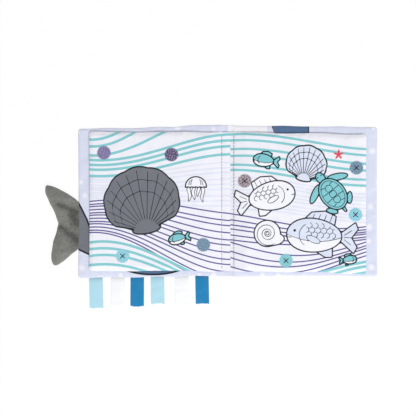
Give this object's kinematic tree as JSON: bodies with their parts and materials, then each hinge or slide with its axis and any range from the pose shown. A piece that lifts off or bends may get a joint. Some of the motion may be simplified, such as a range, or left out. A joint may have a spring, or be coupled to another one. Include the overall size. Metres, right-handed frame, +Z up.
{
  "type": "crinkle cloth book",
  "caption": "Square soft cloth book lying open, with padded covers and crinkle leaves that turn, a stuffed plush fluke at the fore-edge and ribbon tags below.",
  "frame": {"origin": "middle of the spine's outer face, on the surface that the open book lies on", "axes": "+X from the spine towards the back cover's fore-edge, +Y towards the head of the book, +Z up out of the pages"},
  "size_m": [0.3552, 0.1941, 0.0108],
  "materials": {
    "outer_cloth": "printed polyester cloth, matt",
    "lining_cloth": "printed polyester cloth, matt",
    "page_cloth": "printed polyester cloth, matt",
    "wadding": "polyester wadding",
    "crinkle_film": "thin crinkle film",
    "thread": "sewing thread",
    "plush": "short-pile plush",
    "light_blue_ribbon": "satin ribbon",
    "white_ribbon": "satin ribbon",
    "dark_blue_ribbon": "satin ribbon"
  },
  "bodies": {
    "back_cover": {"back_cover_outer_cloth": "outer_cloth", "back_cover_wadding": "wadding", "back_cover_crinkle_film": "crinkle_film", "back_cover_lining": "lining_cloth", "right_page_margin": "page_cloth", "right_binding_stitch": "thread"},
    "spine": {"spine_outer_cloth": "outer_cloth", "spine_lining": "lining_cloth", "gutter_cloth": "page_cloth"},
    "front_cover": {"front_cover_outer_cloth": "outer_cloth", "front_cover_wadding": "wadding", "front_cover_crinkle_film": "crinkle_film", "front_cover_lining": "lining_cloth", "left_page_margin": "page_cloth", "left_binding_stitch": "thread"},
    "left_leaf": {"left_leaf_back_cloth": "page_cloth", "left_leaf_wadding": "wadding", "left_leaf_crinkle_film": "crinkle_film", "left_leaf_front_cloth": "page_cloth"},
    "right_leaf": {"right_leaf_back_cloth": "page_cloth", "right_leaf_wadding": "wadding", "right_leaf_crinkle_film": "crinkle_film", "right_leaf_front_cloth": "page_cloth"},
    "tail": {"tail_top_plush": "plush", "tail_bottom_plush": "plush", "tail_stuffing": "wadding"},
    "ribbon_1": {"ribbon_tag_1": "light_blue_ribbon"},
    "ribbon_2": {"ribbon_tag_2": "white_ribbon"},
    "ribbon_3": {"ribbon_tag_3": "dark_blue_ribbon"},
    "ribbon_4": {"ribbon_tag_4": "light_blue_ribbon"},
    "ribbon_5": {"ribbon_tag_5": "white_ribbon"},
    "ribbon_6": {"ribbon_tag_6": "dark_blue_ribbon"}
  },
  "joints": [
    {"name": "back_cover_close", "type": "hinge", "parent": "spine", "child": "back_cover", "pos_m": [0.005, 0, 0.002], "axis": [0, -1, 0], "range_deg": [0, 90]},
    {"name": "front_cover_close", "type": "hinge", "parent": "spine", "child": "front_cover", "pos_m": [-0.005, 0, 0.002], "axis": [0, 1, 0], "range_deg": [0, 90]},
    {"name": "left_leaf_turn", "type": "hinge", "parent": "front_cover", "child": "left_leaf", "pos_m": [-0.005, 0, 0.0068], "axis": [0, -1, 0], "range_deg": [-176, 0]},
    {"name": "right_leaf_turn", "type": "hinge", "parent": "back_cover", "child": "right_leaf", "pos_m": [0.005, 0, 0.0068], "axis": [0, 1, 0], "range_deg": [-176, 0]},
    {"name": "tail_flop", "type": "hinge", "parent": "front_cover", "child": "tail", "pos_m": [-0.16025, -0.0254, 0.0024], "axis": [0, -1, 0], "range_deg": [-90, 0]},
    {"name": "ribbon_1_lift", "type": "hinge", "parent": "front_cover", "child": "ribbon_1", "pos_m": [-0.14106, -0.08187, 0.0022], "axis": [1, 0, 0], "range_deg": [-100, 0]},
    {"name": "ribbon_2_lift", "type": "hinge", "parent": "front_cover", "child": "ribbon_2", "pos_m": [-0.11753, -0.08121, 0.0022], "axis": [1, 0, 0], "range_deg": [-100, 0]},
    {"name": "ribbon_3_lift", "type": "hinge", "parent": "front_cover", "child": "ribbon_3", "pos_m": [-0.09679, -0.08074, 0.0022], "axis": [1, 0, 0], "range_deg": [-100, 0]},
    {"name": "ribbon_4_lift", "type": "hinge", "parent": "front_cover", "child": "ribbon_4", "pos_m": [-0.07527, -0.08038, 0.0022], "axis": [1, 0, 0], "range_deg": [-100, 0]},
    {"name": "ribbon_5_lift", "type": "hinge", "parent": "front_cover", "child": "ribbon_5", "pos_m": [-0.04926, -0.08011, 0.0022], "axis": [1, 0, 0], "range_deg": [-100, 0]},
    {"name": "ribbon_6_lift", "type": "hinge", "parent": "front_cover", "child": "ribbon_6", "pos_m": [-0.02759, -0.08009, 0.0022], "axis": [1, 0, 0], "range_deg": [-100, 0]}
  ]
}
